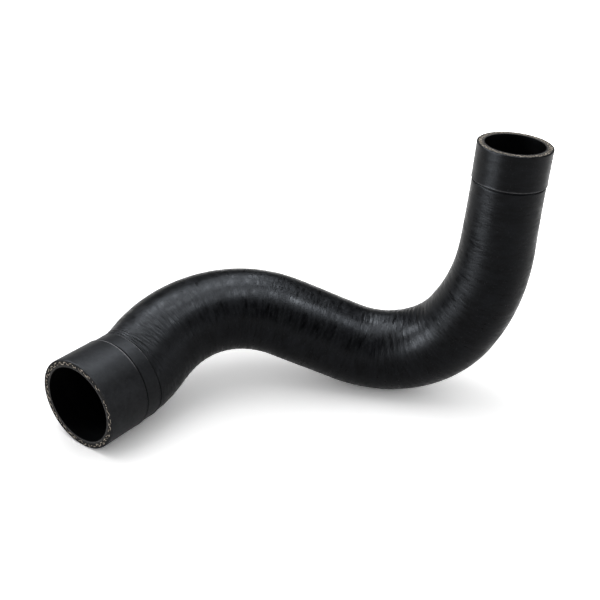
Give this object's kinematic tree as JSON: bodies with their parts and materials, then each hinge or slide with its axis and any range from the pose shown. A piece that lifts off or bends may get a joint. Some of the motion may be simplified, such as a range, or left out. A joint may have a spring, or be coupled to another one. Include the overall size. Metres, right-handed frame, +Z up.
{
  "type": "coolant hose",
  "caption": "Preformed rubber coolant hose with a wide cuffed end, a swept double-bend body and a narrow end on an upright leg.",
  "frame": {"origin": "middle of the bottom of the hose's box, on the floor that the hose lies on", "axes": "+Z up; the wide cuff lies along X with its mouth facing -X; the leg of the narrow end stands along +Z at the -Y side"},
  "size_m": [0.1812, 0.1902, 0.1544],
  "materials": {
    "hose_rubber": "satin",
    "reinforcement_yarn": "woven"
  },
  "bodies": {
    "root": {"hose": "hose_rubber"}
  },
  "joints": []
}
